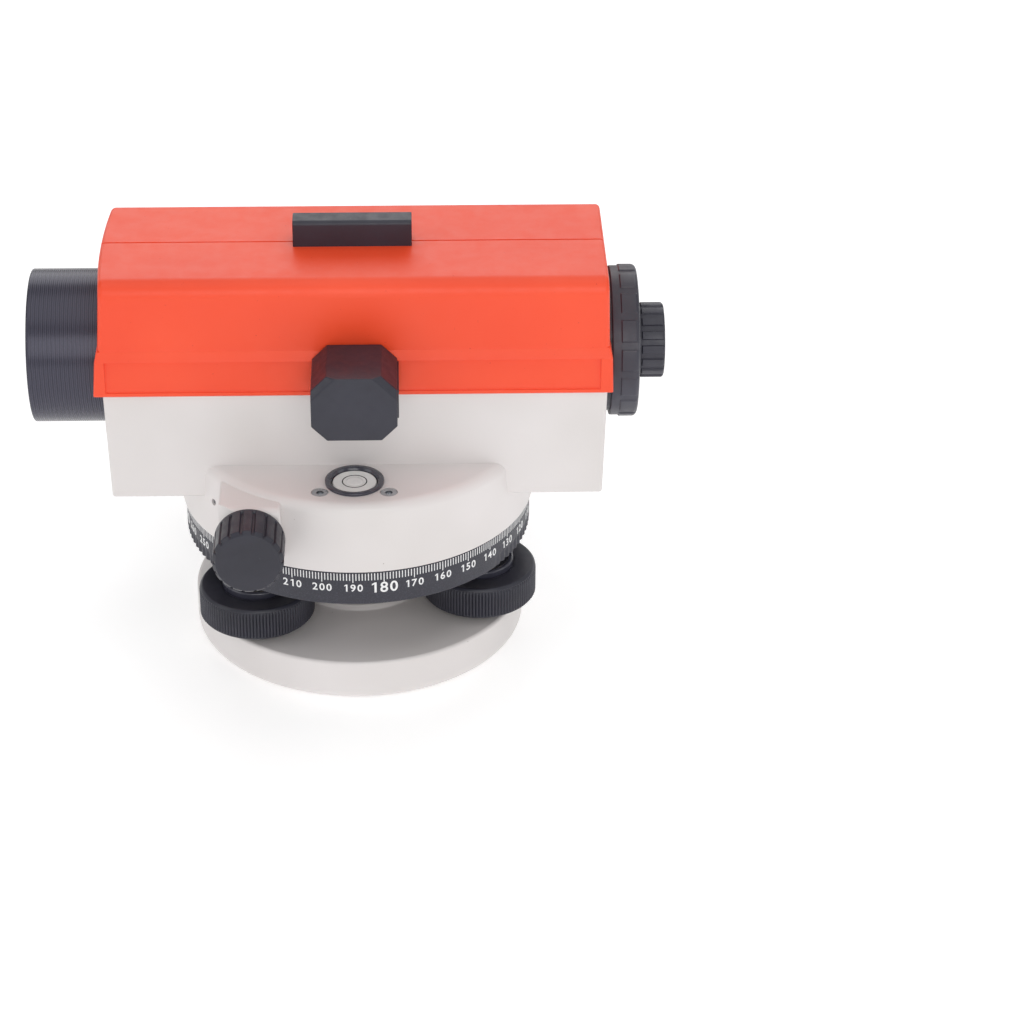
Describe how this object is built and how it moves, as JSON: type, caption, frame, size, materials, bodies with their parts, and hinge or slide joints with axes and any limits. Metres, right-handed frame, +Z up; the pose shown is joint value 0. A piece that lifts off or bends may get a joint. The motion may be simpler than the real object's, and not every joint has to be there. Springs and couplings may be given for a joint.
{
  "type": "automatic level",
  "caption": "Surveying level with a compensated telescope on a turning housing, a graduated horizontal circle, bubble with prism, fine drive, focusing knob and levelling foot screws.",
  "frame": {"origin": "centre of the base plate's underside, on the tripod thread's axis", "axes": "+X along the line of sight towards the eyepiece, +Z up along the vertical axis, the circular bubble on the -Y side"},
  "size_m": [0.1962, 0.139, 0.1425],
  "materials": {
    "white_paint": "satin, fine orange peel",
    "orange_cover": "satin moulded plastic",
    "black_plastic": "satin moulded plastic",
    "circle_black": "black anodised, white marks",
    "black_barrel": "black anodised, turned",
    "inner_black": "matt black inside the light path",
    "steel": "turned",
    "brass": "turned",
    "aluminium": "machined",
    "nylon": "natural nylon",
    "glass": "polished, coated",
    "bubble_fluid": "clear vial"
  },
  "bodies": {
    "base": {"base_plate": "white_paint", "tripod_insert": "brass", "seat_rings": "steel", "seat_ring_screws": "steel"},
    "rear_seat": {"ball_seat_c": "nylon"},
    "tribrach": {"tribrach": "white_paint", "foot_bushes": "brass", "axis_bush": "brass", "sleeve_rings": "steel"},
    "foot_seat_a": {"ball_seat_a": "nylon"},
    "foot_screw_a": {"foot_screw_a": "steel", "foot_knob_a": "black_plastic"},
    "foot_seat_b": {"ball_seat_b": "nylon"},
    "foot_screw_b": {"foot_screw_b": "steel", "foot_knob_b": "black_plastic"},
    "foot_screw_c": {"foot_screw_c": "steel", "foot_knob_c": "black_plastic"},
    "circle": {"horizontal_circle": "circle_black"},
    "focus_carriage": {"focus_cell": "aluminium", "focus_lens": "glass", "focus_rack": "brass"},
    "focus_drive": {"focus_knob": "black_plastic", "focus_shaft": "steel"},
    "fine_drive": {"worm_shaft": "steel", "fine_knobs": "black_plastic"},
    "drive_wheel": {"worm_wheel": "brass"},
    "pendulum": {"pendulum": "aluminium", "pendulum_prism": "glass", "suspension_wires": "steel"},
    "eyepiece": {"eyepiece_tube": "black_barrel", "eyepiece_lenses": "glass"},
    "diopter": {"diopter_ring": "black_plastic"},
    "alidade": {"housing": "white_paint", "turret_plate": "aluminium", "vertical_axis": "steel", "axis_retainer": "steel", "housing_screws": "steel", "worm_bearings": "brass", "bubble_housing": "black_plastic", "bubble_vial": "bubble_fluid", "bubble_screws": "steel", "prism_housing": "black_plastic", "bubble_prism": "glass", "prism_screws": "steel", "cover": "orange_cover", "cover_screws": "steel", "sight": "black_plastic", "objective_barrel": "black_barrel", "objective_lens": "glass", "objective_ring": "inner_black", "telescope_tube": "inner_black", "focus_bush": "brass", "compensator_frame": "aluminium", "roof_prism": "glass", "damper_magnets": "steel", "reticle_cell": "brass", "reticle_glass": "glass", "reticle_screws": "steel", "eyepiece_sleeve": "black_barrel", "eyepiece_cover": "black_plastic"}
  },
  "joints": [
    {"name": "level_over_a", "type": "hinge", "parent": "base", "child": "rear_seat", "pos_m": [-0.00633, 0.04086, 0.009], "axis": [-0.6266, 0.7793, 0], "range_deg": [-2.08, 2.08]},
    {"name": "level_over_b", "type": "hinge", "parent": "rear_seat", "child": "tribrach", "pos_m": [-0.00633, 0.04086, 0.009], "axis": [-0.3616, -0.9323, 0], "range_deg": [-2.08, 2.08]},
    {"name": "foot_a_travel", "type": "slide", "parent": "tribrach", "child": "foot_seat_a", "axis": [0, 0, 1], "range_m": [-0.00225, 0.00225]},
    {"name": "foot_a_turn", "type": "hinge", "parent": "foot_seat_a", "child": "foot_screw_a", "pos_m": [-0.03223, -0.02591, 0.009], "axis": [0, 0, 1], "range_deg": [-1081, 1081]},
    {"name": "foot_b_travel", "type": "slide", "parent": "tribrach", "child": "foot_seat_b", "axis": [0, 0, 1], "range_m": [-0.00225, 0.00225]},
    {"name": "foot_b_turn", "type": "hinge", "parent": "foot_seat_b", "child": "foot_screw_b", "pos_m": [0.03855, -0.01495, 0.009], "axis": [0, 0, 1], "range_deg": [-1081, 1081]},
    {"name": "foot_c_turn", "type": "hinge", "parent": "tribrach", "child": "foot_screw_c", "pos_m": [-0.00633, 0.04086, 0.009], "axis": [0, 0, 1], "range_deg": [-1080, 1080]},
    {"name": "circle_turn", "type": "hinge", "parent": "tribrach", "child": "circle", "pos_m": [0, 0, 0.0455], "axis": [0, 0, 1], "continuous": true},
    {"name": "azimuth", "type": "hinge", "parent": "tribrach", "child": "alidade", "pos_m": [0, 0, 0.065], "axis": [0, 0, 1], "continuous": true},
    {"name": "fine_drive_turn", "type": "hinge", "parent": "alidade", "child": "fine_drive", "pos_m": [-0.032, 0, 0.0609], "axis": [0, 1, 0], "continuous": true},
    {"name": "drive_wheel_turn", "type": "hinge", "parent": "alidade", "child": "drive_wheel", "pos_m": [0, 0, 0.0609], "axis": [0, 0, 1], "continuous": true},
    {"name": "focus_turn", "type": "hinge", "parent": "alidade", "child": "focus_drive", "pos_m": [-0.01, 0.03, 0.09], "axis": [0, 1, 0], "range_deg": [-191, 191]},
    {"name": "focus_travel", "type": "slide", "parent": "alidade", "child": "focus_carriage", "axis": [1, 0, 0], "range_m": [-0.00995, 0.00995]},
    {"name": "eyepiece_travel", "type": "slide", "parent": "alidade", "child": "eyepiece", "axis": [1, 0, 0], "range_m": [0, 0.003]},
    {"name": "diopter_turn", "type": "hinge", "parent": "eyepiece", "child": "diopter", "pos_m": [0.09, 0, 0.09925], "axis": [1, 0, 0], "range_deg": [-1, 541]},
    {"name": "compensator_swing", "type": "hinge", "parent": "alidade", "child": "pendulum", "pos_m": [0.015, 0, 0.117], "axis": [0, 1, 0], "range_deg": [-0.5, 0.5]}
  ],
  "couplings": [
    {"joint": "foot_a_turn", "follows": "foot_a_travel", "rad_per_m": 8377.6},
    {"joint": "level_over_a", "follows": "foot_a_travel", "rad_per_m": -16.123},
    {"joint": "foot_b_turn", "follows": "foot_b_travel", "rad_per_m": 8377.6},
    {"joint": "level_over_b", "follows": "foot_b_travel", "rad_per_m": -16.123},
    {"joint": "drive_wheel_turn", "follows": "fine_drive_turn", "ratio": 0.01},
    {"joint": "focus_turn", "follows": "focus_travel", "rad_per_m": 333.33},
    {"joint": "diopter_turn", "follows": "eyepiece_travel", "rad_per_m": 3141.6}
  ]
}
